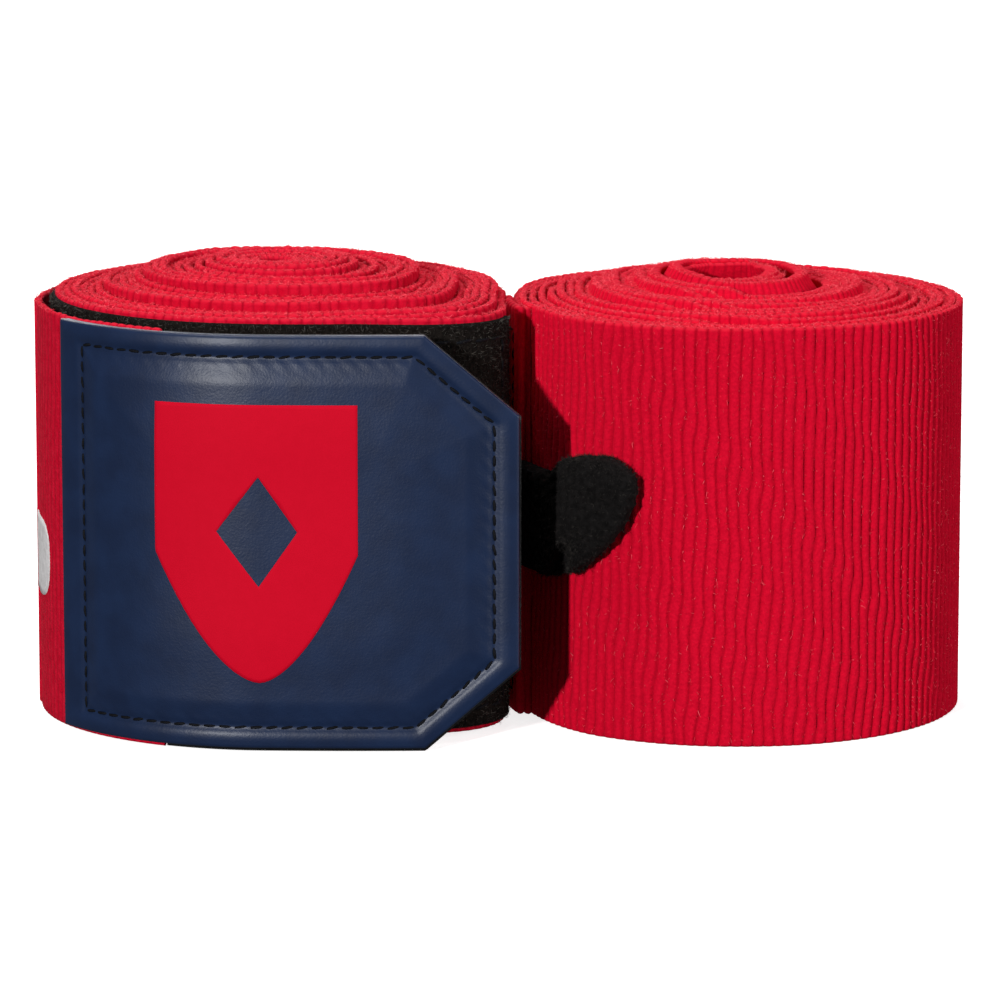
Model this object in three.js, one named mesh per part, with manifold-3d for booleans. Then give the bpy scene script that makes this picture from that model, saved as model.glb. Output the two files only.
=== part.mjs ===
// A pair of rolled elastic hand wraps, standing side by side on their strip edges.
// Millimetres, Z up, resting surface at Z = 0. Wrap A was rolled from its thumb loop, so its
// padded hook-and-loop closure is outside. Wrap B was rolled from its closure, so its thumb
// loop is outside. Both are the same product, so both are made from the same sizes.

import * as THREE from 'three';
import Module from 'manifold-3d';

const wasm = await Module();
wasm.setup();

// ---- driving sizes -------------------------------------------------------------------------

// the elastic strip
const STRIP_LENGTH = 2350;          // from the thumb-loop end to the patch's sewn edge
const STRIP_WIDTH = 50;
const STRIP_THICKNESS = 0.6;
const HEM_LENGTH = 9;               // folded and sewn end of the strip, at the thumb loop

// the loop (pile) panel that the hooks grip, sewn to the strip's outer face
const PILE_OFFSET = 117;            // from the patch's sewn edge
const PILE_LENGTH = 113;
const PILE_THICKNESS = 1.0;

// the closure: a padded patch with a hook panel behind it
const PATCH_LENGTH = 57;
const PATCH_HEIGHT = 49;
const PATCH_SKIN = 0.6;
const CLIP_LENGTH = 11;             // clipped corners at the free end
const CLIP_HEIGHT = 9.5;
const FOAM_THICKNESS = 0.9;
const FOAM_INSET = 4.4;
const SEAM_INSET = 2.8;             // the stitch line, from the patch's edge
const TONGUE_OVERLAP = 15;          // strip sewn in under the patch
const HOOK_BORDER = 0.5;            // hook panel showing past the patch's free edges
const EMBLEM_LENGTH = 23;
const EMBLEM_HEIGHT = 33;
const EMBLEM_THICKNESS = 0.3;
const EMBLEM_SHOULDER = 15;         // straight sides, above the pointed foot
const EMBLEM_PLACE = 0.47;          // its middle, as a share of the patch's length
const LOZENGE_LENGTH = 9;           // the cut in the middle of the emblem
const LOZENGE_HEIGHT = 13;

// the thumb loop: soft tape, folded double
const TAPE_WIDTH = 14;
const TAPE_THICKNESS = 0.55;
const LOOP_ROOT_LENGTH = 6;         // sewn end, held flat
const LOOP_REACH = 13.5;            // free bight, past the root
const LOOP_OPENING = 3.0;           // how far the bight stands open

const THREAD = 0.3;                 // width and height of every seam thread
const SEAM_END_GAP = 1;             // between a hem's or a tape's edge and its seam

// clearances
const SEWN_GAP = 0.15;              // between two pieces sewn face to face
const HINGE_GAP = 0.3;              // where the strip flexes at a joint
const HINGE_BEFORE_PATCH = 1.5;     // the closure's fold line, ahead of the patch's edge
const ROLL_GAP = 0.3;               // between the two rolls

// how the two wraps lie: the turns of A are looser, and both centres have slid up in steps
const SEGMENTS = 26;                // stations in a turn
const WRAP_A = {
  eyeRadius: 4.2,
  turnGap: 0.36,
  endDirection: -146,               // degrees, where the patch's sewn edge lies
  slides: [{ radius: 21, rise: 0.8 }, { radius: 16.4, rise: 1.7 }, { radius: 9.8, rise: 1.5 }],
  cornerBulge: 3.2,                 // the roll is pressed into a soft corner at the front
  cornerDirection: -42,
  cornerSpread: 42,
  centreShift: 0,
};
const WRAP_B = {
  eyeRadius: 3.4,
  turnGap: 0.135,
  endDirection: -160,               // degrees, where the strip's hemmed end lies
  slides: [{ radius: 19.5, rise: 1.0 }, { radius: 14.8, rise: 2.1 }],
  cornerBulge: 0,
  cornerDirection: 0,
  cornerSpread: 1,
  centreShift: -1.0,
};
const SLIDE_BLEND = 0.9;            // radius over which one slide step comes in
const PATCH_STAND = 0.7;            // the closures' lower edge over the resting surface
const FLAP_LEAVES = 27;             // patch length that lies on the roll before it stands off
const FLAP_RADIUS = 260;            // near-flat curve of the part that stands off
const SETTLING_LENGTH = 60;         // strip past B's closure, over which its turns slide up

const TURN = 2 * Math.PI;
const radians = THREE.MathUtils.degToRad;
const { smoothstep, lerp } = THREE.MathUtils;

// what a closure adds outside the strip's own layer
const CLOSURE_BUILD = SEWN_GAP + FOAM_THICKNESS + PATCH_SKIN + SEWN_GAP + THREAD + SEWN_GAP;
const PILE_BUILD = SEWN_GAP + PILE_THICKNESS + SEWN_GAP + THREAD;

// ---- winding -------------------------------------------------------------------------------

// What is sewn to the outside of the strip at a length, as extra thickness. It comes in and
// goes out over a ramp, so that the next turn climbs over the edge.
const CLIMB = 9;

function sewnOn(sewn, length) {
  let build = 0;
  for (const item of sewn) {
    const rises = item.from <= 0 ? 1 : smoothstep(length, item.from - 1.6 * CLIMB, item.from - 0.6 * CLIMB);
    const falls = 1 - smoothstep(length, item.to + 0.6 * CLIMB, item.to + 1.6 * CLIMB);
    build += item.build * rises * falls;
  }
  return build;
}

// Winds a strip from its core. Each station lies on the station one turn beneath it, plus
// whatever is sewn on there. A station is a point of the strip's inner face with the outward
// direction, the wound length, and how far its turn has slid up.
function wind(wrap, length, sewn) {
  const pitch = STRIP_THICKNESS + wrap.turnGap;
  const stations = [];
  let wound = 0;
  while (wound < length) {
    const index = stations.length;
    const beneath = stations[index - SEGMENTS];
    const radius = beneath
      ? beneath.radius + pitch + sewnOn(sewn, beneath.length)
      : wrap.eyeRadius + (pitch + sewnOn(sewn, 0)) * index / SEGMENTS;
    stations.push({ radius, length: wound });
    wound += radius * TURN / SEGMENTS;
  }
  return stations;
}

// Turns the wound radii into plan positions, with the end in the wrap's own direction.
function layOut(wrap, stations, endLength) {
  const lastIndex = stations.findLastIndex((station) => station.length <= endLength);
  const [last, next] = [stations[lastIndex], stations[lastIndex + 1]];
  const endIndex = lastIndex + (endLength - last.length) / (next.length - last.length);
  stations.forEach((station, index) => {
    const direction = radians(wrap.endDirection) + (index - endIndex) * TURN / SEGMENTS;
    const depth = station.radius / last.radius;
    const away = Math.abs(wrapDegrees(THREE.MathUtils.radToDeg(direction) - wrap.cornerDirection));
    const corner = Math.cos(Math.min(away / wrap.cornerSpread, 1) * Math.PI / 2) ** 2;
    const radius = station.radius + wrap.cornerBulge * corner * depth ** 3;
    station.x = wrap.centreShift * (1 - depth) + radius * Math.cos(direction);
    station.y = radius * Math.sin(direction);
    station.rise = 0;
    for (const slide of wrap.slides) {
      const outside = smoothstep(station.radius, slide.radius - SLIDE_BLEND, slide.radius + SLIDE_BLEND);
      station.rise += slide.rise * (1 - outside);
    }
  });
  addNormals(stations);
  return stations;
}

function wrapDegrees(angle) {
  return ((angle + 180) % 360 + 360) % 360 - 180;
}

function addNormals(path) {
  path.forEach((node, index) => {
    const before = path[Math.max(index - 1, 0)];
    const after = path[Math.min(index + 1, path.length - 1)];
    const run = Math.hypot(after.x - before.x, after.y - before.y);
    node.nx = (after.y - before.y) / run;
    node.ny = -(after.x - before.x) / run;
  });
}

// A path's point at any length, on the straight stretch between two stations.
function pointAt(path, length) {
  const found = path.findIndex((node) => node.length > length);
  const index = found < 0 ? path.length - 1 : Math.max(found, 1);
  const [a, b] = [path[index - 1], path[index]];
  const share = (length - a.length) / (b.length - a.length);
  const point = {};
  for (const key of ['x', 'y', 'nx', 'ny', 'rise']) point[key] = lerp(a[key], b[key], share);
  return { ...point, length };
}

// The part of a path between two lengths, with extra stations where they are asked for.
function stretch(path, from, to, extra = []) {
  const lengths = path.map((node) => node.length).concat(extra);
  const inside = lengths.filter((length) => length > from + 0.2 && length < to - 0.2);
  inside.sort((a, b) => a - b);
  const kept = inside.filter((length, index) => index === 0 || length - inside[index - 1] > 0.2);
  return [from, ...kept, to].map((length) => pointAt(path, length));
}

// ---- solids --------------------------------------------------------------------------------

// A band that stands on edge along a path: a rectangular section from station to station,
// between two offsets from the path and between a lower and an upper edge.
function band(path, inner, outer, lower, upper) {
  const positions = [];
  for (const node of path) {
    const [low, high] = [lower(node), upper(node)];
    for (const [offset, height] of [[inner, low], [outer, low], [outer, high], [inner, high]]) {
      const reach = typeof offset === 'function' ? offset(node) : offset;
      positions.push(node.x + node.nx * reach, node.y + node.ny * reach, height);
    }
  }
  const index = [0, 1, 2, 0, 2, 3];
  for (let ring = 0; ring < path.length - 1; ring += 1) {
    for (let side = 0; side < 4; side += 1) {
      const a = ring * 4 + side;
      const b = ring * 4 + (side + 1) % 4;
      index.push(b, a, a + 4, b, a + 4, b + 4);
    }
  }
  const end = (path.length - 1) * 4;
  index.push(end, end + 2, end + 1, end, end + 3, end + 2);
  return facingOut(positions, index);
}

function facingOut(positions, index) {
  const geometry = new THREE.BufferGeometry();
  geometry.setAttribute('position', new THREE.Float32BufferAttribute(positions, 3));
  const [a, b, c] = [new THREE.Vector3(), new THREE.Vector3(), new THREE.Vector3()];
  let volume = 0;
  for (let i = 0; i < index.length; i += 3) {
    a.fromArray(positions, index[i] * 3);
    b.fromArray(positions, index[i + 1] * 3);
    c.fromArray(positions, index[i + 2] * 3);
    volume += a.dot(b.cross(c));
  }
  geometry.setIndex(volume > 0 ? index : index.toReversed());
  return geometry;
}

function cut(geometry, tool) {
  const [body, cutter] = [geometry, tool].map((piece) => new wasm.Manifold(new wasm.Mesh({
    numProp: 3,
    vertProperties: new Float32Array(piece.getAttribute('position').array),
    triVerts: new Uint32Array(piece.getIndex().array),
  })));
  const mesh = body.subtract(cutter).getMesh();
  return facingOut(Array.from(mesh.vertProperties), Array.from(mesh.triVerts));
}

const level = (height) => () => height;

// ---- materials -----------------------------------------------------------------------------

const MATERIALS = {
  elastic: { color: 0xcc0428, roughness: 0.95 },
  pile: { color: 0x130c09, roughness: 1.0 },
  hook: { color: 0x17181b, roughness: 0.7 },
  foam: { color: 0x2a2a2c, roughness: 0.95 },
  leather: { color: 0x1f2f46, roughness: 0.45 },
  emblem: { color: 0xcc0826, roughness: 0.5 },
  tape: { color: 0x141111, roughness: 1.0 },
  thread: { color: 0x101014, roughness: 0.8 },
};

const rolls = new THREE.Group();

function addPiece(name, material, geometry) {
  const look = new THREE.MeshStandardMaterial({ ...MATERIALS[material], metalness: 0, flatShading: true });
  const mesh = new THREE.Mesh(geometry, look);
  mesh.name = name;
  rolls.add(mesh);
}

// ---- outlines that the closure's layers share ----------------------------------------------

const PATCH_TOP = PATCH_STAND + PATCH_HEIGHT;
const PATCH_MIDDLE = PATCH_STAND + PATCH_HEIGHT / 2;

// The patch's outline, moved in by an inset (or out, below zero): a rectangle with two clipped
// corners at the free end. Half its height is given along the patch.
function patchOutline(inset) {
  const slant = Math.hypot(CLIP_LENGTH, CLIP_HEIGHT);
  const clipStarts = PATCH_LENGTH - CLIP_LENGTH + inset * (CLIP_LENGTH - slant) / CLIP_HEIGHT;
  const halfHeight = (length) => {
    const full = PATCH_HEIGHT / 2 - inset;
    return full - Math.max(length - clipStarts, 0) * CLIP_HEIGHT / CLIP_LENGTH;
  };
  return {
    from: inset,
    to: PATCH_LENGTH - inset,
    corner: clipStarts,
    upper: (node) => PATCH_MIDDLE + halfHeight(node.length),
    lower: (node) => PATCH_MIDDLE - halfHeight(node.length),
  };
}

function patchLayer(path, inset, inner, outer, from) {
  const outline = patchOutline(inset);
  const run = stretch(path, from ?? outline.from, outline.to, [outline.corner]);
  return band(run, inner, outer, outline.lower, outline.upper);
}

// ---- pieces of a closure -------------------------------------------------------------------

const FOAM_FROM = STRIP_THICKNESS + SEWN_GAP;
const SKIN_FROM = FOAM_FROM + FOAM_THICKNESS;
const SKIN_TO = SKIN_FROM + PATCH_SKIN;
const PAST = 1;                     // how far a cutting tool runs past what it cuts

// The leather skin is turned in round its edge, so it is a shallow tray over the foam.
function patchSkin(path) {
  const tray = patchLayer(path, 0, FOAM_FROM, SKIN_TO);
  const pocket = patchLayer(path, FOAM_INSET - SEWN_GAP, FOAM_FROM - PAST, SKIN_FROM + SEWN_GAP);
  return cut(tray, pocket);
}

function patchSeam(path) {
  const face = SKIN_TO + SEWN_GAP;
  const line = patchLayer(path, SEAM_INSET, face, face + THREAD);
  const inside = patchLayer(path, SEAM_INSET + THREAD, face - PAST, face + THREAD + PAST);
  return cut(line, inside);
}

// The hook panel starts where the strip's sewn tongue ends, in the same layer.
function hookPanel(path) {
  return patchLayer(path, -HOOK_BORDER, 0, STRIP_THICKNESS, TONGUE_OVERLAP + HINGE_GAP);
}

// A plain shield with a lozenge cut through it, bent along the patch.
function emblem(path) {
  const face = SKIN_TO + SEWN_GAP;
  const middle = PATCH_LENGTH * EMBLEM_PLACE;
  const foot = EMBLEM_HEIGHT - EMBLEM_SHOULDER;
  const top = PATCH_MIDDLE + EMBLEM_HEIGHT / 2;
  const across = (node, length) => Math.min(Math.abs(node.length - middle) / (length / 2), 1);
  const shieldLower = (node) => {
    const depth = 0.15 + 0.85 * (1 - across(node, EMBLEM_LENGTH) ** 1.7);
    return top - EMBLEM_SHOULDER - foot * depth;
  };
  const steps = [-0.5, -0.4, -0.3, -0.2, -0.1, 0, 0.1, 0.2, 0.3, 0.4, 0.5];
  const at = (length) => steps.map((share) => middle + share * length);
  const shieldRun = stretch(path, middle - EMBLEM_LENGTH / 2, middle + EMBLEM_LENGTH / 2, at(EMBLEM_LENGTH));
  const shield = band(shieldRun, face, face + EMBLEM_THICKNESS, shieldLower, level(top));
  const centre = top - EMBLEM_SHOULDER;
  const half = (node) => 0.05 + (1 - across(node, LOZENGE_LENGTH)) * LOZENGE_HEIGHT / 2;
  const cutRun = stretch(path, middle - LOZENGE_LENGTH / 2, middle + LOZENGE_LENGTH / 2, [middle]);
  const lozenge = band(
    cutRun, face - PAST, face + EMBLEM_THICKNESS + PAST,
    (node) => centre - half(node), (node) => centre + half(node),
  );
  return cut(shield, lozenge);
}

function addClosure(prefix, path) {
  addPiece(`${prefix}_hook_panel`, 'hook', hookPanel(path));
  addPiece(`${prefix}_patch_foam`, 'foam', patchLayer(path, FOAM_INSET, FOAM_FROM, SKIN_FROM));
  addPiece(`${prefix}_patch_skin`, 'leather', patchSkin(path));
  addPiece(`${prefix}_patch_thread`, 'thread', patchSeam(path));
  addPiece(`${prefix}_patch_emblem`, 'emblem', emblem(path));
}

// ---- the loop panel and its seam, sewn to the outside of the strip -------------------------

const PILE_FACE = STRIP_THICKNESS + SEWN_GAP;
const PILE_MARGIN = 0.2;            // the panel is this much narrower than the strip, each side

function addPile(prefix, winding, from, to) {
  const run = (inset) => stretch(winding, from + inset, to - inset);
  const lower = (inset) => (node) => node.rise + PILE_MARGIN + inset;
  const upper = (inset) => (node) => node.rise + STRIP_WIDTH - PILE_MARGIN - inset;
  const panel = band(run(0), PILE_FACE, PILE_FACE + PILE_THICKNESS, lower(0), upper(0));
  addPiece(`${prefix}_pile_panel`, 'pile', panel);
  const face = PILE_FACE + PILE_THICKNESS + SEWN_GAP;
  const inset = SEAM_INSET;
  const line = band(run(inset), face, face + THREAD, lower(inset), upper(inset));
  const inner = inset + THREAD;
  const inside = band(run(inner), face - PAST, face + THREAD + PAST, lower(inner), upper(inner));
  addPiece(`${prefix}_pile_thread`, 'thread', cut(line, inside));
}

// ---- wrap A: closure outside ---------------------------------------------------------------

const WOUND_LENGTH = STRIP_LENGTH + PATCH_LENGTH;
const pileA = { from: STRIP_LENGTH - PILE_OFFSET - PILE_LENGTH, to: STRIP_LENGTH - PILE_OFFSET };
const windingA = layOut(
  WRAP_A,
  wind(WRAP_A, WOUND_LENGTH, [{ ...pileA, build: PILE_BUILD }]),
  STRIP_LENGTH,
);

const stripLower = (node) => node.rise;
const stripUpper = (node) => node.rise + STRIP_WIDTH;
const stripEndA = STRIP_LENGTH - HINGE_BEFORE_PATCH;
const stripRunA = stretch(windingA, 0, stripEndA - HINGE_GAP / 2);
addPiece('wrap_a_strip', 'elastic', band(stripRunA, 0, STRIP_THICKNESS, stripLower, stripUpper));
addPile('wrap_a', windingA, pileA.from, pileA.to);

// The flap lies on the roll and then stands off it, nearly flat.
function flapPath() {
  const lying = windingA
    .filter((node) => node.length > STRIP_LENGTH - 12 && node.length < STRIP_LENGTH + FLAP_LEAVES)
    .map((node) => ({ ...node, length: node.length - STRIP_LENGTH }));
  const leaves = pointAt(windingA, STRIP_LENGTH + FLAP_LEAVES);
  const along = { x: -leaves.ny, y: leaves.nx };
  const steps = 5;
  const standing = [];
  for (let step = 0; step <= steps; step += 1) {
    const run = (PATCH_LENGTH + PAST - FLAP_LEAVES) * step / steps;
    const turn = run / FLAP_RADIUS;
    const ahead = FLAP_RADIUS * Math.sin(turn);
    const back = FLAP_RADIUS * (1 - Math.cos(turn));
    standing.push({
      length: FLAP_LEAVES + run,
      x: leaves.x + along.x * ahead - leaves.nx * back,
      y: leaves.y + along.y * ahead - leaves.ny * back,
      rise: 0,
    });
  }
  const path = [...lying, ...standing];
  addNormals(path);
  return path;
}

const flap = flapPath();
const hingeLength = stripEndA - STRIP_LENGTH;
const tongueRun = stretch(flap, hingeLength + HINGE_GAP / 2, TONGUE_OVERLAP);
addPiece(
  'wrap_a_strip_tongue', 'elastic',
  band(tongueRun, 0, STRIP_THICKNESS, level(0), level(STRIP_WIDTH)),
);
addClosure('wrap_a', flap);

// The other end of wrap A, inside its core: the thumb loop, folded flat and rolled up.
const LOOP_FOLDED = 2 * TAPE_THICKNESS + SEWN_GAP;

function corePath(outerRadius, turns, pitch) {
  const count = Math.round(turns * SEGMENTS / 2);
  const path = [];
  let length = 0;
  for (let index = 0; index <= count; index += 1) {
    const angle = index * 2 * TURN / SEGMENTS;
    const radius = outerRadius - pitch * (turns - angle / TURN);
    path.push({ length, x: radius * Math.cos(angle), y: radius * Math.sin(angle), rise: 0 });
    length += radius * 2 * TURN / SEGMENTS;
  }
  addNormals(path);
  return path;
}

const loopLevelA = windingA[0].rise + STRIP_WIDTH / 2;
const loopCore = corePath(WRAP_A.eyeRadius - LOOP_FOLDED - SEWN_GAP - THREAD - SEWN_GAP, 1.1, LOOP_FOLDED + SEWN_GAP);
addPiece('wrap_a_thumb_loop', 'tape', band(
  loopCore, 0, LOOP_FOLDED,
  level(loopLevelA - TAPE_WIDTH / 2), level(loopLevelA + TAPE_WIDTH / 2),
));

// ---- wrap B: thumb loop outside ------------------------------------------------------------

const hemB = { from: WOUND_LENGTH - HEM_LENGTH, to: WOUND_LENGTH };
const pileB = { from: PATCH_LENGTH + PILE_OFFSET, to: PATCH_LENGTH + PILE_OFFSET + PILE_LENGTH };
const closureB = { from: 0, to: PATCH_LENGTH, build: CLOSURE_BUILD };
const windingB = layOut(
  WRAP_B,
  wind(WRAP_B, WOUND_LENGTH + 60, [closureB, { ...pileB, build: PILE_BUILD }]),
  WOUND_LENGTH,
);

// The two rolls are pushed together until one of B's outer pieces meets A's last turn.
const HEM_FACE = STRIP_THICKNESS + SEWN_GAP;
const HEM_BUILD = HEM_FACE + STRIP_THICKNESS + SEWN_GAP + THREAD;
const LOOP_BUILD = LOOP_FOLDED + SEWN_GAP + THREAD;
const outside = (path, reach) => path.map((node) => ({
  x: node.x + node.nx * reach, y: node.y + node.ny * reach,
}));
const fine = (from, to) => Array.from({ length: 40 }, (_, step) => lerp(from, to, step / 39));
const outsideOf = (path, from, to, reach) => outside(stretch(path, from, to, fine(from, to)), reach);
const lastTurnA = outsideOf(windingA, STRIP_LENGTH - 160, STRIP_LENGTH - 40, STRIP_THICKNESS);
const outerB = [
  ...outsideOf(windingB, WOUND_LENGTH - 80, hemB.from, STRIP_THICKNESS),
  ...outsideOf(windingB, hemB.from, hemB.to, HEM_BUILD),
  ...outsideOf(windingB, hemB.to, hemB.to + LOOP_ROOT_LENGTH, LOOP_BUILD),
].filter((node) => node.x < 0);
let spacing = 0;
for (const own of outerB) {
  const beside = lastTurnA.filter((other) => Math.abs(own.y - other.y) < 2 * STRIP_THICKNESS);
  for (const other of beside) spacing = Math.max(spacing, other.x - own.x);
}
for (const node of windingB) node.x += spacing + ROLL_GAP;

// The core has slid up, but the closure in its middle has stayed at the patch's own level.
for (const node of windingB) {
  const past = smoothstep(node.length, PATCH_LENGTH, PATCH_LENGTH + SETTLING_LENGTH);
  node.rise = lerp(PATCH_STAND, node.rise, past);
}

const stripStartB = PATCH_LENGTH - TONGUE_OVERLAP;
const stripRunB = stretch(windingB, stripStartB, WOUND_LENGTH);
addPiece('wrap_b_strip', 'elastic', band(stripRunB, 0, STRIP_THICKNESS, stripLower, stripUpper));
addPile('wrap_b', windingB, pileB.from, pileB.to);

const closurePath = windingB
  .filter((node) => node.length < PATCH_LENGTH + 12)
  .map((node) => ({ ...node, length: PATCH_LENGTH - node.length }))
  .reverse();
addClosure('wrap_b', closurePath);

// The strip's end is folded back on its outside and sewn down.
const hemRun = stretch(windingB, hemB.from, hemB.to);
addPiece('wrap_b_end_hem', 'elastic', band(
  hemRun, HEM_FACE, HEM_FACE + STRIP_THICKNESS, level(0), level(STRIP_WIDTH),
));

function seamFrame(path, from, to, face, low, high) {
  const line = band(stretch(path, from, to), face, face + THREAD, level(low), level(high));
  const inside = band(
    stretch(path, from + THREAD, to - THREAD),
    face - PAST, face + THREAD + PAST,
    level(low + THREAD), level(high - THREAD),
  );
  return cut(line, inside);
}

const hemSeam = seamFrame(
  windingB, hemB.from + SEAM_END_GAP, hemB.to - SEAM_END_GAP,
  HEM_FACE + STRIP_THICKNESS + SEWN_GAP,
  SEAM_INSET, STRIP_WIDTH - SEAM_INSET,
);
addPiece('wrap_b_hem_thread', 'thread', hemSeam);

// The thumb loop's tape leaves the hem, is held flat over its root, and opens past it.
const LOOP_LOW = (STRIP_WIDTH - TAPE_WIDTH) / 2;
const LOOP_HIGH = (STRIP_WIDTH + TAPE_WIDTH) / 2;
const rootFrom = WOUND_LENGTH + HINGE_GAP;
const rootTo = rootFrom + LOOP_ROOT_LENGTH;
const underLoop = windingB
  .filter((node) => node.length > WOUND_LENGTH - 20 && node.length < WOUND_LENGTH + 50)
  .map((node) => ({ ...node, rise: 0 }));
const rootRun = stretch(underLoop, rootFrom, rootTo - HINGE_GAP / 2);
addPiece('wrap_b_thumb_loop_root', 'tape', band(rootRun, 0, LOOP_FOLDED, level(LOOP_LOW), level(LOOP_HIGH)));

// The bight is one tape: out along the roll, round its end, and back on the outside.
function bightPath() {
  const from = rootTo + HINGE_GAP / 2;
  const middle = SEWN_GAP + LOOP_FOLDED / 2;
  const closed = (TAPE_THICKNESS + SEWN_GAP) / 2;
  const halfOpening = (share) => {
    const opens = closed + (LOOP_OPENING / 2 - closed) * smoothstep(share, 0.1, 0.6);
    const rounds = Math.sqrt(Math.max(1 - Math.max((share - 0.8) / 0.2, 0) ** 2, 0));
    return opens * rounds;
  };
  const shares = [0, 0.15, 0.3, 0.45, 0.6, 0.7, 0.8, 0.87, 0.93, 0.97, 1];
  const side = (share, sign) => {
    const node = pointAt(underLoop, from + share * LOOP_REACH);
    const lifted = middle + smoothstep(share, 0.1, 0.6) * (LOOP_OPENING / 2 - closed);
    const reach = lifted + sign * halfOpening(share);
    return { x: node.x + node.nx * reach, y: node.y + node.ny * reach, rise: 0 };
  };
  const out = shares.map((share) => side(share, -1));
  const back = shares.slice(0, -1).reverse().map((share) => side(share, 1));
  const path = [...out, ...back];
  path.forEach((node, index) => { node.length = index; });
  addNormals(path);
  return path;
}

addPiece('wrap_b_thumb_loop', 'tape', band(
  bightPath(), -TAPE_THICKNESS / 2, TAPE_THICKNESS / 2, level(LOOP_LOW), level(LOOP_HIGH),
));
addPiece('wrap_b_thumb_loop_thread', 'thread', seamFrame(
  underLoop, rootFrom + SEAM_END_GAP, rootTo - SEAM_END_GAP, LOOP_FOLDED + SEWN_GAP,
  LOOP_LOW + SEAM_END_GAP, LOOP_HIGH - SEAM_END_GAP,
));
const coreEnd = loopCore.at(-1).length;
addPiece('wrap_a_thumb_loop_thread', 'thread', seamFrame(
  loopCore, coreEnd - LOOP_ROOT_LENGTH, coreEnd - SEAM_END_GAP, LOOP_FOLDED + SEWN_GAP,
  loopLevelA - TAPE_WIDTH / 2 + SEAM_END_GAP, loopLevelA + TAPE_WIDTH / 2 - SEAM_END_GAP,
));

// ---- placing: the origin is under the middle of the pair -----------------------------------

const box = new THREE.Box3().setFromObject(rolls);
const middle = box.getCenter(new THREE.Vector3());
rolls.position.set(-middle.x, -middle.y, -box.min.z);

const group = new THREE.Group();
group.add(rolls);

// where the joints turn, on the strip's outer face
const closureHinge = pointAt(flap, hingeLength);
const loopHinge = pointAt(underLoop, rootTo);
const onFace = (node, reach) => [
  node.x + node.nx * reach - middle.x, node.y + node.ny * reach - middle.y, STRIP_WIDTH / 2,
];
group.userData.closureHinge = onFace(closureHinge, STRIP_THICKNESS);
group.userData.loopHinge = onFace(loopHinge, LOOP_FOLDED);

export default group;
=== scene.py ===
# %% [markdown]
# # A pair of rolled hand wraps
# Two long elastic knit strips, each wound into a roll and stood on its edge. The left roll ends
# in its padded hook-and-loop closure, the right one in its thumb loop. Everything is drawn in
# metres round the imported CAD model, which is the frame: it says where each piece goes.

# %% Loading the frame
import math

import bpy
import numpy as np
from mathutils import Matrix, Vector


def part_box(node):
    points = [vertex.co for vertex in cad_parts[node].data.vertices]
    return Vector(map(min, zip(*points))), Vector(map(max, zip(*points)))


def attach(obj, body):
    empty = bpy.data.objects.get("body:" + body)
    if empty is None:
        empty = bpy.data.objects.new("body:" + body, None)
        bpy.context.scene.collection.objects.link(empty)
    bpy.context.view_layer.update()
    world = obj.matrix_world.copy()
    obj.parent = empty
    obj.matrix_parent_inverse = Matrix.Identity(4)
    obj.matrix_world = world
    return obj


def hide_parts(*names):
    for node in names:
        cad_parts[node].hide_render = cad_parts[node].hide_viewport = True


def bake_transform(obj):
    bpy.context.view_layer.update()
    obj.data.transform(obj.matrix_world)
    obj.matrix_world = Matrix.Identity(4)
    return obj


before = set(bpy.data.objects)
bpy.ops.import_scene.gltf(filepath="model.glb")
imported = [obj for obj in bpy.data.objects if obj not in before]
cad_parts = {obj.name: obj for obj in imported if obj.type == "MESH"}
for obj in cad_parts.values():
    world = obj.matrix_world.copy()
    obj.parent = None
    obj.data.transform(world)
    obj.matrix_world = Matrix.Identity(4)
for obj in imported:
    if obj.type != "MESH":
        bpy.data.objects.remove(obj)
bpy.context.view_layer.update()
MM = 0.001

# %% [markdown]
# ## Camera and light
# The pair is looked at from the front and slightly above, through a long lens, so that the
# upright sides stay nearly parallel. One small lamp from the front left draws the closure's
# crisp shadow on the second roll, and wide soft lamps lift everything else.

# %% Camera
CAMERA_DISTANCE = 0.74
CAMERA_ELEVATION = math.radians(10.2)
CAMERA_LENS = 219.3
AIM = Vector((0.0001, 0.0, 0.0251))


def look_at(thing, target):
    thing.rotation_euler = (target - thing.location).to_track_quat("-Z", "Y").to_euler()


camera = bpy.data.objects.new("camera", bpy.data.cameras.new("camera"))
bpy.context.scene.collection.objects.link(camera)
back_and_up = Vector((0, -math.cos(CAMERA_ELEVATION), math.sin(CAMERA_ELEVATION)))
camera.location = AIM + CAMERA_DISTANCE * back_and_up
look_at(camera, AIM)
camera.data.lens = CAMERA_LENS
camera.data.clip_start = 0.01
bpy.context.scene.camera = camera
bpy.context.scene.view_settings.view_transform = "Standard"
print("camera at", [round(v, 3) for v in camera.location])


# %% Lamps and the white room
def lamp(name, place, size, watts, target=AIM):
    light = bpy.data.lights.new(name, "AREA")
    light.shape = "DISK"
    light.size = size
    light.energy = watts
    thing = bpy.data.objects.new(name, light)
    bpy.context.scene.collection.objects.link(thing)
    thing.location = place
    look_at(thing, target)


lamp("key_lamp", AIM + Vector((-0.43, -0.90, 0.25)) * 1.4, 0.06, 17.2)
lamp("top_lamp", AIM + Vector((-0.15, 0.05, 0.9)), 0.5, 4.8)
lamp("right_lamp", AIM + Vector((0.95, -0.45, 0.25)), 0.5, 5.0)
lamp("back_lamp", AIM + Vector((-0.3, 1.2, 0.45)), 0.7, 6.0)

world = bpy.data.worlds.new("white_room")
bpy.context.scene.world = world
world.use_nodes = True
world.node_tree.nodes["Background"].inputs["Color"].default_value = (1, 1, 1, 1)
world.node_tree.nodes["Background"].inputs["Strength"].default_value = 0.10
print("lamps:", len(bpy.data.lights))

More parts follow.
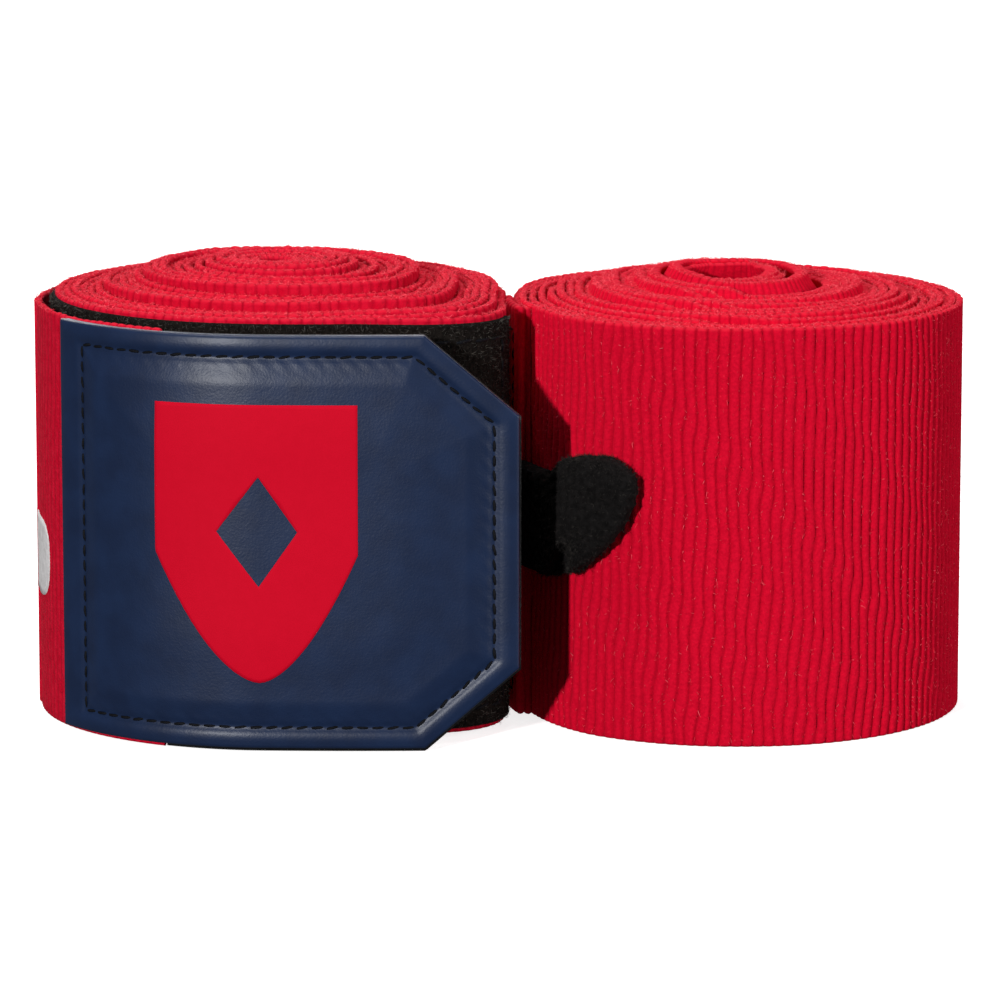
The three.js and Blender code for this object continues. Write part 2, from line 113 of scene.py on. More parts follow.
# %% [markdown]
# ## Meshes from numbers
# Almost every piece here is a long band that stands on edge and follows a curve in plan: the
# strip, the tape, the pads. So one helper makes them all. It takes a column of points for each
# step along the curve, joins neighbouring columns with quads and closes both ends.


# %% A closed skin over a grid of points
def new_piece(name, points, faces, material, smooth=True):
    mesh = bpy.data.meshes.new(name)
    mesh.from_pydata((points * MM).tolist(), [], faces)
    mesh.materials.append(material)
    mesh.polygons.foreach_set("use_smooth", [smooth] * len(mesh.polygons))
    mesh.update()
    piece = bpy.data.objects.new(name, mesh)
    bpy.context.scene.collection.objects.link(piece)
    return piece


def add_map(piece, name, first, second):
    """A pair of values at each point that the finishes can read."""
    layer = piece.data.uv_layers.new(name=name)
    corner_points = np.empty(len(piece.data.loops), int)
    piece.data.loops.foreach_get("vertex_index", corner_points)
    values = np.stack([first.ravel(), second.ravel()], axis=1)
    layer.data.foreach_set("uv", values[corner_points].astype(np.float32).ravel())


def skin_faces(columns, ring, closed=False):
    """Quads between neighbouring columns, whose points run round in a ring, and end caps."""
    last = columns if closed else columns - 1
    column, place = np.meshgrid(np.arange(last), np.arange(ring), indexing="ij")
    beside, above = (column + 1) % columns, (place + 1) % ring
    corners = [column * ring + place, beside * ring + place, beside * ring + above, column * ring + above]
    faces = np.stack(corners, axis=2).reshape(-1, 4).tolist()
    if not closed:
        end = (columns - 1) * ring
        faces += [list(range(ring)), list(range(end + ring - 1, end - 1, -1))]
    return faces


def skin(name, points, material, closed=False):
    """points has the shape (columns, ring, 3), in millimetres."""
    faces = skin_faces(points.shape[0], points.shape[1], closed)
    return new_piece(name, points.reshape(-1, 3), faces, material)


def smooth_step(value, low, high):
    share = np.clip((value - low) / (high - low), 0, 1)
    return share * share * (3 - 2 * share)


KNOTS = 4096


def wander(value, spacing, seed):
    """A slow random wave between -1 and 1, the same on every run."""
    value = np.asarray(value, float) / spacing
    knots = np.random.default_rng(seed).uniform(-1, 1, KNOTS)
    cell = np.floor(value).astype(int)
    share = value - cell
    share = share * share * (3 - 2 * share)
    return knots[cell % KNOTS] * (1 - share) + knots[(cell + 1) % KNOTS] * share


# %% [markdown]
# ## How a strip winds
# A wound strip is a spiral, but not an even one: each turn lies on the turn beneath it and on
# whatever is sewn there. So the roll is built as it is wound by hand, a short step at a time,
# and each step looks up the radius one full turn earlier. The sizes, in millimetres, are the
# CAD model's. Only the soft bulges at the front are larger, because cloth gives way there.

# %% Sizes of the strip and of what is sewn to it
STRIP_LENGTH = 2350
STRIP_WIDTH = 50
STRIP_THICKNESS = 0.6
PILE_OFFSET = 117
PILE_LENGTH = 113
PILE_THICKNESS = 1.0
PATCH_LENGTH = 57
PATCH_HEIGHT = 49
SEWN_GAP = 0.15
THREAD = 0.3
FOAM_THICKNESS = 0.9
PATCH_SKIN = 0.6
HINGE = -1.5
HEM_LENGTH = 9
HEM_FACE = 1.85
WOUND_LENGTH = STRIP_LENGTH + PATCH_LENGTH
PILE_BUILD = SEWN_GAP + PILE_THICKNESS + SEWN_GAP + THREAD
CLOSURE_BUILD = SEWN_GAP + FOAM_THICKNESS + PATCH_SKIN + SEWN_GAP + THREAD + SEWN_GAP
STEPS = 208
CLIMB = 9
CLIMB_LEAD = 5.4


# %% Winding
def sewn_on(sewn, length):
    """How thick the pieces sewn on at a length are. A turn climbs over their ends gradually."""
    build = 0.0
    for start, end, thickness in sewn:
        comes = 1 if start <= 0 else smooth_step(length, start - CLIMB_LEAD - CLIMB, start - CLIMB_LEAD)
        build += thickness * comes * (1 - smooth_step(length, end + CLIMB_LEAD, end + CLIMB_LEAD + CLIMB))
    return build


class Track:
    """A curve in plan, with the length along it and the outward direction at each point."""

    def __init__(self, length, x, y):
        self.length, self.x, self.y = length, x, y
        dx, dy = np.gradient(x), np.gradient(y)
        run = np.hypot(dx, dy)
        self.nx, self.ny = dy / run, -dx / run

    def at(self, length):
        value = [np.interp(length, self.length, data) for data in (self.x, self.y, self.nx, self.ny)]
        return np.stack(value[:2], axis=-1), np.stack(value[2:], axis=-1)

    def points(self, length, offset, height):
        """Points in space, from the length along the curve, the offset outwards and the height."""
        length, offset, height = np.broadcast_arrays(length, offset, height)
        xy, outward = self.at(length)
        return np.concatenate([xy + outward * offset[..., None], height[..., None]], axis=-1)


def wind(eye, pitch, total, sewn, end, end_direction, corner=(0, 0, 1), shift=0.0):
    """eye is the first radius, pitch the turn spacing and end the length that lies in
    end_direction. corner is a soft bulge (height, direction, spread), and shift moves the eye."""
    radius, length, wound = [], [], 0.0
    while wound < total + 60:
        k = len(radius)
        if k < STEPS:
            radius.append(eye + (pitch + sewn_on(sewn, 0)) * k / STEPS)
        else:
            radius.append(radius[k - STEPS] + pitch + sewn_on(sewn, length[k - STEPS]))
        length.append(wound)
        wound += radius[-1] * 2 * math.pi / STEPS
    radius, length = np.array(radius), np.array(length)
    end_step = np.interp(end, length, np.arange(len(length)))
    direction = math.radians(end_direction) + (np.arange(len(length)) - end_step) * 2 * math.pi / STEPS
    depth = radius / np.interp(end, length, radius)
    bulge, bulge_direction, spread = corner
    away = (np.degrees(direction) - bulge_direction + 180) % 360 - 180
    bump = np.cos(np.minimum(np.abs(away) / spread, 1) * math.pi / 2) ** 2
    drawn = radius + bulge * bump * depth ** 3
    roll = Track(length, shift * (1 - depth) + drawn * np.cos(direction), drawn * np.sin(direction))
    roll.radius = radius
    roll.direction = direction
    return roll


def place(roll, cad_roll, node, start, end):
    """Moves a wound curve to where the CAD strip, whose curve is cad_roll, stands."""
    low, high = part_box(node)
    inside = (cad_roll.length > start) & (cad_roll.length < end)
    reach_x = (cad_roll.x + cad_roll.nx * STRIP_THICKNESS)[inside]
    reach_y = (cad_roll.y + cad_roll.ny * STRIP_THICKNESS)[inside]
    roll.centre_x = (low.x + high.x) / 2 / MM - (reach_x.min() + reach_x.max()) / 2
    roll.centre_y = (low.y + high.y) / 2 / MM - (reach_y.min() + reach_y.max()) / 2
    roll.x = roll.x + roll.centre_x
    roll.y = roll.y + roll.centre_y
    return roll


pile_a = (STRIP_LENGTH - PILE_OFFSET - PILE_LENGTH, STRIP_LENGTH - PILE_OFFSET)
EYE_A, TURN_A, END_DIRECTION_A = 4.2, 0.96, -146
CORNER_A, CAD_CORNER_A = (6.0, -40, 34), (3.2, -42, 42)
winding_a = (EYE_A, TURN_A, WOUND_LENGTH, [(*pile_a, PILE_BUILD)], STRIP_LENGTH, END_DIRECTION_A)
roll_a = place(
    wind(*winding_a, CORNER_A), wind(*winding_a, CAD_CORNER_A), "wrap_a_strip", 0, STRIP_LENGTH + HINGE)

pile_b = (PATCH_LENGTH + PILE_OFFSET, PATCH_LENGTH + PILE_OFFSET + PILE_LENGTH)
EYE_B, TURN_B, END_DIRECTION_B = 3.4, 0.735, -160
CORNER_B, EYE_SHIFT_B = (1.3, -120, 40), -1.0
sewn_b = [(0, PATCH_LENGTH, CLOSURE_BUILD), (*pile_b, PILE_BUILD)]
winding_b = (EYE_B, TURN_B, WOUND_LENGTH, sewn_b, WOUND_LENGTH, END_DIRECTION_B)
roll_b = place(
    wind(*winding_b, CORNER_B, EYE_SHIFT_B), wind(*winding_b, shift=EYE_SHIFT_B),
    "wrap_b_strip", PATCH_LENGTH, WOUND_LENGTH,
)
print("roll A centre, mm:", round(roll_a.centre_x, 2), round(roll_a.centre_y, 2))
print("roll B centre, mm:", round(roll_b.centre_x, 2), round(roll_b.centre_y, 2))

# %% [markdown]
# ## Finishes
# Each finish is a small node tree. A fine noise mixes its two colours, and grain that is too
# small to model comes from bump. The knit's finishes also read two maps that the strip carries:
# they fade to a lighter red at the upper edge, a painted highlight of the light from above, and
# darken in the grooves between the ribs, painted shade.
# they fade to a lighter red at the worn upper edge, and darken in the grooves between the ribs.
# Numbers that don't change over a surface sit on the shader.


# %% A finish with colour variation and bump
# Painted shade: the share of the colour that is left in the grooves between the ribs.
PAINTED_GROOVE_SHADE = 0.72
# Painted highlight: how far below the upper edge the lighter red reaches, in mm.
PAINTED_HIGHLIGHT_DEPTH = 0.4


def finish(name, colour, second, roughness, bumps, mix_scale=900, sheen=0.0, shine=0.5, edge=None):
    """colour and second are mixed by a fine noise and bumps lists (scale, depth in mm). edge is
    for cloth with ribs: the colour that it fades to at its upper edge, a painted highlight of the
    light from above. It also turns on painted shade in the grooves between the ribs."""
    material = bpy.data.materials.new(name)
    material.use_nodes = True
    nodes, links = material.node_tree.nodes, material.node_tree.links
    shader = nodes["Principled BSDF"]
    shader.inputs["Roughness"].default_value = roughness
    shader.inputs["Sheen Weight"].default_value = sheen
    shader.inputs["Sheen Roughness"].default_value = 0.35
    shader.inputs["Sheen Tint"].default_value = (1, 0.45, 0.5, 1)
    shader.inputs["Specular IOR Level"].default_value = shine
    place_node = nodes.new("ShaderNodeTexCoord")
    noise = nodes.new("ShaderNodeTexNoise")
    noise.inputs["Scale"].default_value = mix_scale
    noise.inputs["Detail"].default_value = 4
    links.new(place_node.outputs["Object"], noise.inputs["Vector"])
    ramp = nodes.new("ShaderNodeValToRGB")
    ramp.color_ramp.elements[0].position = 0.35
    ramp.color_ramp.elements[1].position = 0.65
    ramp.color_ramp.elements[0].color = (*colour, 1)
    ramp.color_ramp.elements[1].color = (*second, 1)
    links.new(noise.outputs["Fac"], ramp.inputs["Fac"])
    links.new(ramp.outputs["Color"], shader.inputs["Base Color"])
    if edge:
        cloth = nodes.new("ShaderNodeUVMap")
        cloth.uv_map = "cloth"
        split = nodes.new("ShaderNodeSeparateXYZ")
        links.new(cloth.outputs["UV"], split.inputs["Vector"])
        # Painted highlight: a lighter red near the upper edge, standing for light from above.
        painted_highlight = nodes.new("ShaderNodeMapRange")
        painted_highlight.inputs["From Min"].default_value = PAINTED_HIGHLIGHT_DEPTH * MM
        painted_highlight.inputs["From Max"].default_value = 0.0
        links.new(split.outputs["Y"], painted_highlight.inputs["Value"])
        fade = nodes.new("ShaderNodeMix")
        fade.data_type = "RGBA"
        fade.inputs[7].default_value = (*edge, 1)
        links.new(painted_highlight.outputs["Result"], fade.inputs[0])
        links.new(ramp.outputs["Color"], fade.inputs[6])
        ribs = nodes.new("ShaderNodeUVMap")
        ribs.uv_map = "ribs"
        rib_split = nodes.new("ShaderNodeSeparateXYZ")
        links.new(ribs.outputs["UV"], rib_split.inputs["Vector"])
        raised = nodes.new("ShaderNodeMapRange")
        raised.inputs["From Min"].default_value = 0.1
        raised.inputs["From Max"].default_value = 0.75
        links.new(rib_split.outputs["X"], raised.inputs["Value"])
        # Painted shade: the colour is darkened in the grooves between the ribs.
        painted_shade_mix = nodes.new("ShaderNodeMix")
        painted_shade_mix.data_type = "RGBA"
        painted_shade_mix.inputs[6].default_value = (*[value * PAINTED_GROOVE_SHADE for value in colour], 1)
        links.new(raised.outputs["Result"], painted_shade_mix.inputs[0])
        links.new(fade.outputs[2], painted_shade_mix.inputs[7])
        links.new(painted_shade_mix.outputs[2], shader.inputs["Base Color"])
    last = None
    for scale, depth in bumps:
        grain = nodes.new("ShaderNodeTexNoise")
        grain.inputs["Scale"].default_value = scale
        grain.inputs["Detail"].default_value = 3
        links.new(place_node.outputs["Object"], grain.inputs["Vector"])
        bump = nodes.new("ShaderNodeBump")
        bump.inputs["Strength"].default_value = 1.0
        bump.inputs["Distance"].default_value = depth * MM
        links.new(grain.outputs["Fac"], bump.inputs["Height"])
        if last:
            links.new(last.outputs["Normal"], bump.inputs["Normal"])
        last = bump
    if last:
        links.new(last.outputs["Normal"], shader.inputs["Normal"])
    return material


RED = (0.58, 0.0012, 0.0195)
RED_LIT = (0.70, 0.0028, 0.026)
# Painted highlight: the lighter red that the upper edges fade to, as if lit from above.
PAINTED_HIGHLIGHT_RED = (0.72, 0.016, 0.040)
elastic = finish(
    "elastic_knit", RED, RED_LIT, 0.9, [(1600, 0.12), (4200, 0.08)], 2600, 0.02, 0.06, PAINTED_HIGHLIGHT_RED)
felt = finish(
    "brushed_knit", (0.53, 0.0014, 0.020), (0.62, 0.006, 0.030), 0.95, [(1400, 0.2), (3600, 0.14)],
    900, 0.03, 0.06, PAINTED_HIGHLIGHT_RED)
pile = finish(
    "loop_pile", (0.004, 0.003, 0.0025), (0.012, 0.0095, 0.008), 1.0, [(2200, 0.4)], 2400, 0.0, 0.1)
tape = finish(
    "knit_tape", (0.0035, 0.003, 0.003), (0.0085, 0.0075, 0.0075), 1.0, [(1700, 0.4)], 1500, 0.0, 0.1)
leather = finish(
    "synthetic_leather", (0.0050, 0.0140, 0.046), (0.0066, 0.0185, 0.059), 0.42,
    [(1100, 0.018), (3800, 0.022)], 260, 0.0, 0.36)
backing = finish(
    "leather_backing", (0.22, 0.27, 0.33), (0.34, 0.39, 0.45), 0.9, [(2500, 0.1)], 900, 0.0, 0.1)
hook = finish("hook_panel", (0.006, 0.006, 0.007), (0.012, 0.012, 0.013), 0.55, [(2500, 0.15)])
thread = finish(
    "sewing_thread", (0.0016, 0.0018, 0.0032), (0.0042, 0.005, 0.008), 0.75, [(3500, 0.06)],
    3000, 0.0, 0.15)
mark_red = finish(
    "printed_red", (0.575, 0.0016, 0.0175), (0.59, 0.0018, 0.0185), 0.7, [(3000, 0.006)],
    900, 0.0, 0.06)
mark_white = finish(
    "printed_white", (0.62, 0.60, 0.60), (0.75, 0.73, 0.73), 0.8, [(1500, 0.15)], 900, 0.0, 0.1)
red_fibre = finish(
    "red_fibre", (0.72, 0.012, 0.038), (0.95, 0.12, 0.16), 0.9, [], 1800, 0.0, 0.1)
print("finishes:", len(bpy.data.materials))

# %% [markdown]
# ## The knit strip
# The strip is an elastic rib knit. Its ribs run across it, so they stand upright on a roll, and
# at the edge each rib ends in a small soft knob. Both come from one wave along the strip, so a
# rib and its knob always meet. The wave sways a little, because knitted ribs are never straight.

# %% One section of the strip, and its ribs
RIB_PITCH = 1.25
EDGE_DROP = 0.15
KNOBS = 65536


def turn_wave(length, seed):
    """The upper edge of a wound strip is never quite level."""
    return 0.30 * wander(length, 55, seed + 5)


def section(bottom, top, inner, outer, rows):
    """A ring of offsets and heights with rounded edges. Each argument but rows is one value for
    each column, and rows are shares of the height from the lower edge."""
    bottom, top, inner, outer = [np.asarray(v, float)[:, None] for v in (bottom, top, inner, outer)]
    middle, half = (inner + outer) / 2, (outer - inner) / 2
    low, high = bottom + half, top - half
    round_edge = np.linspace(0, math.pi, 7)[None, 1:-1]
    rows = np.asarray(rows)[None, :]
    back = np.array([[1.0, 0.94, 0.5, 0.0]])
    offset = [outer + 0 * rows, middle + half * np.cos(round_edge), inner + 0 * back,
              middle - half * np.cos(round_edge)]
    height = [low + (high - low) * rows, high + half * np.sin(round_edge),
              low + (high - low) * back, low - half * np.sin(round_edge)]
    return np.concatenate(offset, axis=1), np.concatenate(height, axis=1)


def rib_wave(length, height, seed):
    """1 on the back of a rib and 0 in the groove between two."""
    sway = 1.1 * wander(length / 3 + height, 26, seed) + 0.24 * wander(height + length, 3.8, seed + 1)
    phase = (length + sway) / RIB_PITCH
    return np.abs(np.sin(math.pi * phase)) ** 0.6, np.floor(phase)


def knob(rib, seed):
    """A size between -1 and 1 for each rib, by its number."""
    return np.random.default_rng(seed).uniform(-1, 1, KNOBS)[rib.astype(int) % KNOBS]


SLIDE_BLEND = 0.4


def slide_up(radius, slides):
    """The sum of the steps (radius, rise) by which the turns inside each radius have slid up."""
    rise = np.zeros_like(radius)
    for at, step in slides:
        rise += step * (1 - smooth_step(radius, at - SLIDE_BLEND, at + SLIDE_BLEND))
    return rise


def knit_strip(name, roll, start, end, step, rows, rise, faces, relief, seed, material, lean=None):
    """A stretch of strip. rise gives the lower edge's height for each length, faces the offsets
    of its inner and outer face, and lean how far its upper edge has flopped inwards."""
    length = np.arange(start, end + step / 2, step)
    low = rise(length)
    top = low + STRIP_WIDTH - EDGE_DROP + turn_wave(length, seed) + 0.10 * wander(length, 9, seed + 6)
    inner = faces[0] + 0.03 * wander(length, 5, seed + 2)
    outer = faces[1] + 0.05 * wander(length, 7, seed + 3)
    offset, height = section(low + 0.02, top, inner, outer, rows)
    wave, rib = rib_wave(length[:, None] + 0 * height, height, seed)
    outer_share = (offset - inner[:, None]) / (outer - inner)[:, None]
    offset = offset + relief * (wave - 0.7) * outer_share
    at_top = smooth_step(height, (top - 0.55)[:, None], (top - 0.1)[:, None])
    lift = 0.14 * (wave - 0.8) + 0.06 * knob(rib, seed + 4) * wave
    height = height + at_top * lift
    offset = offset + at_top * 0.13 * knob(rib + 31, seed + 7) * wave
    if lean:
        flops = smooth_step(height, (top - 10)[:, None], (top + 1)[:, None]) ** 1.5
        far = lean(length)[:, None]
        offset = offset - flops * far + (outer_share - 0.5) * 0.14 * far * flops
    points = roll.points(length[:, None], offset, height)
    piece = skin(name, points, material)
    # Maps the finishes read: the distance below the upper edge, where they paint a highlight, and the rib
    # wave, where they paint shade in the grooves.
    add_map(piece, "cloth", length[:, None] * MM + 0 * height, (top[:, None] - height) * MM)
    add_map(piece, "ribs", wave, outer_share)
    return piece


HIDDEN_ROWS = [0, 0.05, 0.5, 0.88, 0.92, 0.95, 0.975, 1.0]

# %% [markdown]
# ## The left roll
# This wrap was rolled from its thumb loop. Its turns have slid up in steps towards the middle,
# as they do when a roll is pressed from below, and a little more at the back left.

# %% The left roll's turns
SLIDES_A = [(21, 0.9), (16.4, 1.35), (9.8, 1.1)]
TAIL_BEFORE_HINGE = 14
STRIP_END_A = STRIP_LENGTH + HINGE
SEED_A = 40


def rise_a(length):
    radius = np.interp(length, roll_a.length, roll_a.radius)
    direction = np.interp(length, roll_a.length, roll_a.direction)
    tilt = 1 + 0.1 * np.cos(direction - math.radians(140)) * smooth_step(radius, 6, 14)
    jitter = 0.30 * wander(length, 70, 11) * smooth_step(24 - radius, 0, 2)
    under_last = 1.5 * (1 - smooth_step(length, STRIP_LENGTH - 150, STRIP_LENGTH - 95))
    return np.maximum(slide_up(radius, SLIDES_A) * tilt + jitter + under_last, 0.0)


def lean_a(length):
    radius = np.interp(length, roll_a.length, roll_a.radius)
    return 2.9 * np.clip((11 - radius) / 6.8, 0, 1)


TAIL_START_A = STRIP_END_A - TAIL_BEFORE_HINGE
cuts = [0, 1150, 1950, TAIL_START_A]
for part, (start, end) in enumerate(zip(cuts[:-1], cuts[1:])):
    piece = knit_strip(
        f"wrap_a_turns_{part + 1}", roll_a, start, end, 0.21, HIDDEN_ROWS, rise_a,
        (0, 0.90), 0.24, SEED_A, felt, lean_a,
    )
    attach(piece, "left_roll")

# %% The closure's path: on the roll, then standing off it
FLAP_LEAVES = 27
FLAP_RADIUS = 260


def flap_track():
    """Lengths are counted from the closure's sewn edge, and the last of the roll comes before."""
    lying = np.arange(-30, FLAP_LEAVES, 0.25)
    xy, outward = roll_a.at(lying + STRIP_LENGTH)
    (leave,), (normal,) = roll_a.at([FLAP_LEAVES + STRIP_LENGTH])
    ahead_way = np.array([-normal[1], normal[0]])
    run = np.arange(0, PATCH_LENGTH + 3 - FLAP_LEAVES, 0.25)
    ahead = FLAP_RADIUS * np.sin(run / FLAP_RADIUS)[:, None] * ahead_way
    back = FLAP_RADIUS * (1 - np.cos(run / FLAP_RADIUS))[:, None] * normal
    path = np.concatenate([xy, leave + ahead - back])
    return Track(np.concatenate([lying, run + FLAP_LEAVES]), path[:, 0], path[:, 1])


flap = flap_track()
print("flap track points:", len(flap.length))

# %% The strip's tail, which bends at the closure's hinge
TONGUE_OVERLAP = 15
tail = knit_strip(
    "wrap_a_strip_tail", flap, HINGE - TAIL_BEFORE_HINGE, TONGUE_OVERLAP, 0.21, np.linspace(0, 1, 40),
    lambda length: 0 * length, (0, 0.62), 0.10, 47, felt,
)
before, after = flap.at([HINGE - 2, HINGE + 2])[0]
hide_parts("wrap_a_strip")
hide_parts("wrap_a_strip_tongue")
print("tail length, mm:", TAIL_BEFORE_HINGE + TONGUE_OVERLAP - HINGE)

# %% [markdown]
# ## The right roll
# This one was rolled from its closure, so the hemmed end and the thumb loop are outside and the
# ribs of its last turn face the viewer. That turn gets many more columns and rows than the
# others, because nothing covers it. The inner turns' upper edges flop inwards, over the closure
# that is rolled in the core, and less and less further out.

# %% The right roll's turns
SLIDES_B = [(22.4, 0.9), (19, 1.0), (15.6, 1.1), (11.5, 0.6)]
LEAN_B = [(8.0, 5.6), (11.2, 6.0), (14.7, 5.5), (20.4, 2.6), (24.5, 0.0)]
PATCH_STAND = 0.7
SETTLING_LENGTH = 60
SEED_B = 60
OUTER_TURN = 172


def rise_b(length):
    radius = np.interp(length, roll_b.length, roll_b.radius)
    direction = np.interp(length, roll_b.length, roll_b.direction)
    tilt = 1 + 0.12 * np.cos(direction - math.radians(110)) * smooth_step(radius, 6, 14)
    jitter = 0.22 * wander(length, 60, 23) * smooth_step(25 - radius, 0, 2)
    slid = np.maximum(slide_up(radius, SLIDES_B) * tilt + jitter, 0)
    past = smooth_step(length, PATCH_LENGTH, PATCH_LENGTH + SETTLING_LENGTH)
    return PATCH_STAND + (slid - PATCH_STAND) * past


def lean_b(length):
    radius = np.interp(length, roll_b.length, roll_b.radius)
    return np.interp(radius, *zip(*LEAN_B))


cuts = [PATCH_LENGTH - TONGUE_OVERLAP, 1150, WOUND_LENGTH - OUTER_TURN]
strips_b = []
for part, (start, end) in enumerate(zip(cuts[:-1], cuts[1:])):
    piece = knit_strip(
        f"wrap_b_turns_{part + 1}", roll_b, start, end, 0.21, HIDDEN_ROWS, rise_b,
        (0, 0.70), 0.22, SEED_B, elastic, lean_b,
    )
    strips_b.append((piece, end - start))
outer = knit_strip(
    "wrap_b_outer_turn", roll_b, WOUND_LENGTH - OUTER_TURN, WOUND_LENGTH, 0.125,
    np.linspace(0, 1, 76), rise_b, (0, 0.72), 0.44, SEED_B, elastic,
)
strips_b.append((outer, OUTER_TURN))
for piece, run in strips_b:
    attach(piece, "right_roll")
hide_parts("wrap_b_strip")
print("right roll faces:", [len(piece.data.polygons) for piece, run in strips_b])

# %% [markdown]
# ## The closure
# The closure is a sandwich sewn along one stitch line: the hook panel at the back, the light
# backing whose cut edge shows as a pale line, a thin foam, and the leather skin. Foam swells
# the skin inside the stitches, and the thread pulls it into a groove. So the skin's height is
# one function of the distance to the stitch line, which every other layer can ask for.

# %% Outline and stitch line of the closure
CLIP_LENGTH = 11
CLIP_HEIGHT = 9.5
CLIP_SLANT = math.hypot(CLIP_LENGTH, CLIP_HEIGHT)
HALF_HEIGHT = PATCH_HEIGHT / 2
SEAM_START, SEAM_END, SEAM_SIDE, SEAM_CLIP = 4.2, 2.9, 2.5, 2.6


def clip_distance(along, across):
    short = (PATCH_LENGTH - along) * CLIP_HEIGHT + (HALF_HEIGHT - np.abs(across)) * CLIP_LENGTH
    return (short - CLIP_LENGTH * CLIP_HEIGHT) / CLIP_SLANT


def inside_edge(along, across):
    sides = np.minimum(along, PATCH_LENGTH - along)
    return np.minimum(np.minimum(sides, HALF_HEIGHT - np.abs(across)), clip_distance(along, across))


def inside_seam(along, across):
    ends = np.minimum(along - SEAM_START, PATCH_LENGTH - SEAM_END - along)
    sides = HALF_HEIGHT - SEAM_SIDE - np.abs(across)
    return np.minimum(np.minimum(ends, sides), clip_distance(along, across) - SEAM_CLIP)


def patch_half(along, inset):
    """Half the outline's height at a length, moved in by an inset."""
    starts = PATCH_LENGTH - CLIP_LENGTH + inset * (CLIP_LENGTH - CLIP_SLANT) / CLIP_HEIGHT
    return HALF_HEIGHT - inset - np.maximum(along - starts, 0) * CLIP_HEIGHT / CLIP_LENGTH


def seam_corners():
    side = HALF_HEIGHT - SEAM_SIDE
    short = SEAM_CLIP * CLIP_SLANT + CLIP_LENGTH * CLIP_HEIGHT
    clip_from = PATCH_LENGTH - (short - SEAM_SIDE * CLIP_LENGTH) / CLIP_HEIGHT
    clip_to = HALF_HEIGHT - (short - SEAM_END * CLIP_HEIGHT) / CLIP_LENGTH
    end = PATCH_LENGTH - SEAM_END
    return np.array([
        (SEAM_START, side), (clip_from, side), (end, clip_to), (end, -clip_to),
        (clip_from, -side), (SEAM_START, -side), (SEAM_START, side),
    ])


print("seam corners, mm:", seam_corners().round(1).tolist()[:3])

# %% The height of the leather skin
SKIN_BORDER = 1.95
PUFF_OUTSIDE = 0.95
PUFF_ROLLED = 0.15


def leather_offset(along, across, puff):
    edge, seam = inside_edge(along, across), inside_seam(along, across)
    swell = puff * (0.62 * smooth_step(seam, 0.1, 3.4) + 0.38 * smooth_step(seam, 2.0, 12))
    border = 0.16 * smooth_step(edge, 0, 1.2) * (1 - smooth_step(edge, 1.2, 3.2))
    groove = -0.27 * np.exp(-((seam / 0.5) ** 2))
    round_edge = -0.22 * (1 - np.sqrt(np.clip(edge / 0.35, 0, 1) * (2 - np.clip(edge / 0.35, 0, 1))))
    folds = 0.07 * wander(along * 0.8 + across * 0.35, 6.5, 71) * wander(across - along * 0.2, 9, 72)
    pucker = 0.02 * np.sin((along + across) * math.pi) * np.exp(-((seam - 0.9) ** 2) / 0.5)
    return SKIN_BORDER + swell + border + groove + round_edge + folds * smooth_step(seam, 1, 5) + pucker


# %% Layers of one closure
PATCH_MIDDLE = PATCH_STAND + HALF_HEIGHT
HOOK_FACES = (0.08, 0.5)
BACKING_FACES = (0.68, 1.35)
LEATHER_BACK = 1.30
PATCH_STITCH = 1.8


def patch_grid(track, start, end, inset, step, rows, outer, inner, drop=0.0):
    """Columns along the patch, with rows of points up its face, closest near its edges, and back
    down behind it. drop moves a layer down a little."""
    near_edge = np.array([0.06, 0.15, 0.3])
    along = np.unique(np.concatenate([
        np.arange(start, end, step), [end, PATCH_LENGTH - CLIP_LENGTH], start + near_edge, end - near_edge,
    ]).round(4))
    along = along[(along >= start) & (along <= end)][:, None]
    even = np.linspace(-1, 1, rows)[None, :]
    share = 0.65 * even + 0.35 * np.sin(even * math.pi / 2)
    back = np.linspace(1, -1, max(rows // 8, 4))[None, :]
    half = patch_half(along, inset)
    face = track.points(along, outer(along, share * half), PATCH_MIDDLE - drop + share * half)
    rear = track.points(along, inner, PATCH_MIDDLE - drop + back * half)
    return np.concatenate([face, rear], axis=1)


def stitches(name, track, surface, corners, pitch, middle, radius=0.17):
    """A lockstitch along a polyline of (length, height): each stitch is a bead of thread, high in
    its middle and sunk at both ends, where the needle went through."""
    rng = np.random.default_rng(5)
    points, faces = [], []
    bead = [(-0.5, 0.45, -0.30), (-0.42, 0.85, -0.10), (-0.2, 1.0, 0.06), (0.1, 1.0, 0.08),
            (0.35, 0.9, -0.02), (0.5, 0.45, -0.28)]
    around = np.linspace(0, 2 * math.pi, 9)[:-1]
    for start, end in zip(corners[:-1], corners[1:]):
        run = np.hypot(*(end - start))
        count = max(round(run / pitch), 1)
        way = (end - start) / run
        for number in range(count):
            centre = start + way * (number + 0.5) * run / count
            turn = rng.uniform(-0.16, 0.16) + 0.10
            own = np.array([way[0] * math.cos(turn) - way[1] * math.sin(turn),
                            way[0] * math.sin(turn) + way[1] * math.cos(turn)])
            cross = np.array([-own[1], own[0]])
            size = radius * rng.uniform(0.9, 1.12)
            first = len(points)
            for place_along, thick, lift in bead:
                spot = centre + own * place_along * run / count * 0.94
                level = surface(*spot) + lift - 0.02
                for angle in around:
                    spread = spot + cross * size * thick * math.cos(angle)
                    out = level + size * thick * math.sin(angle)
                    points.append((spread[0], out, middle(spot[0]) + spread[1]))
            ring = len(around)
            for column in range(len(bead) - 1):
                for side in range(ring):
                    a = first + column * ring + side
                    b = first + column * ring + (side + 1) % ring
                    faces.append((a, b, b + ring, a + ring))
            faces.append(tuple(range(first + ring - 1, first - 1, -1)))
            faces.append(tuple(range(first + (len(bead) - 1) * ring, first + len(bead) * ring)))
    points = np.array(points)
    piece = new_piece(name, track.points(points[:, 0], points[:, 1], points[:, 2]), faces, thread)
    return piece


